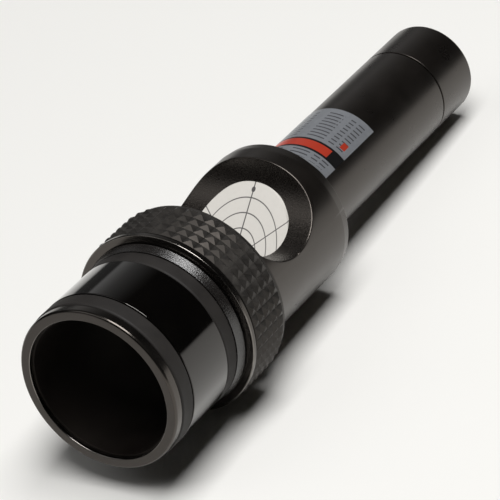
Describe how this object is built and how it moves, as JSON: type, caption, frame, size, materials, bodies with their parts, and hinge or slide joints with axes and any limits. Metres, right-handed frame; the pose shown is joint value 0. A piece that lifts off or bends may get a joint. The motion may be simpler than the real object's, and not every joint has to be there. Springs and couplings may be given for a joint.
{
  "type": "laser collimator",
  "caption": "Laser collimator with a self-centring expanding 2 inch barrel, knurled clamping ring, viewing window over a 45 degree target, and laser tube with twist cap.",
  "frame": {"origin": "on the optical axis at the middle of the floating sleeve, the stretch of barrel that a 2 inch focuser grips", "axes": "+Y along the optical axis from the open mouth to the tail cap, +Z towards the middle of the viewing window, +X across"},
  "size_m": [0.0575, 0.1972, 0.0574],
  "materials": {
    "anodised_satin": "satin black anodised",
    "anodised_gloss": "polished black anodised",
    "anodised_matt": "matt black anodised",
    "blasted_metal": "bead blasted dark anodised",
    "knurled_metal": "square knurled black anodised",
    "bare_aluminium": "turned",
    "rubber": "matt black rubber",
    "target_white": "matt white with fine printed lines",
    "steel": "plain",
    "screw_black": "black oxide",
    "brass": "turned",
    "glass": "clear, coated",
    "circuit_board": "solder mask",
    "chip_plastic": "moulded",
    "liner_plastic": "moulded",
    "battery_wrap": "shrink wrap",
    "label_foil": "silver printed foil"
  },
  "bodies": {
    "core": {"nose_ring": "anodised_matt", "nose_tube": "anodised_gloss", "guide_pins": "steel", "front_rubber_ring": "rubber", "window_body": "anodised_satin", "target_wedge": "anodised_satin", "target_plate": "target_white", "wedge_screws": "screw_black", "stop_screw": "screw_black", "laser_tube": "anodised_satin", "label": "label_foil", "module_carrier": "bare_aluminium", "carrier_screws": "screw_black", "pivot_o_ring": "rubber", "laser_module": "brass", "lens_retainer": "brass", "collimating_lens": "glass", "laser_diode": "brass", "diode_retainer": "brass", "driver_board": "circuit_board", "driver_chips": "chip_plastic", "front_contact_spring": "brass", "battery_sleeve": "liner_plastic", "battery_can": "battery_wrap", "battery_button": "steel"},
    "sleeve": {"floating_sleeve": "anodised_gloss", "rear_rubber_ring": "rubber"},
    "pusher": {"pusher_flange": "blasted_metal", "thrust_washer": "brass", "retaining_wire": "steel"},
    "clamp_ring": {"knurled_ring": "knurled_metal"},
    "plunger": {"contact_plunger": "brass", "tail_spring": "steel"},
    "cap": {"tail_cap": "anodised_satin", "cap_o_ring": "rubber"}
  },
  "joints": [
    {"name": "pusher_slide", "type": "slide", "parent": "core", "child": "pusher", "axis": [0, -1, 0], "range_m": [0, 0.00125]},
    {"name": "ring_turn", "type": "hinge", "parent": "pusher", "child": "clamp_ring", "pos_m": [0, 0.0273, 0], "axis": [0, -1, 0], "range_deg": [0, 300]},
    {"name": "sleeve_slide", "type": "slide", "parent": "core", "child": "sleeve", "axis": [0, -1, 0], "range_m": [0, 0.000625], "deforming": ["front_rubber_ring", "rear_rubber_ring"]},
    {"name": "plunger_slide", "type": "slide", "parent": "core", "child": "plunger", "axis": [0, 1, 0], "range_m": [0, 0.00075]},
    {"name": "cap_turn", "type": "hinge", "parent": "plunger", "child": "cap", "pos_m": [0, 0.17, 0], "axis": [0, 1, 0], "range_deg": [0, 270]}
  ],
  "couplings": [
    {"joint": "pusher_slide", "follows": "ring_turn", "m_per_rad": 0.00023873},
    {"joint": "sleeve_slide", "follows": "ring_turn", "m_per_rad": 0.00011937},
    {"joint": "plunger_slide", "follows": "cap_turn", "m_per_rad": 0.00015915}
  ]
}
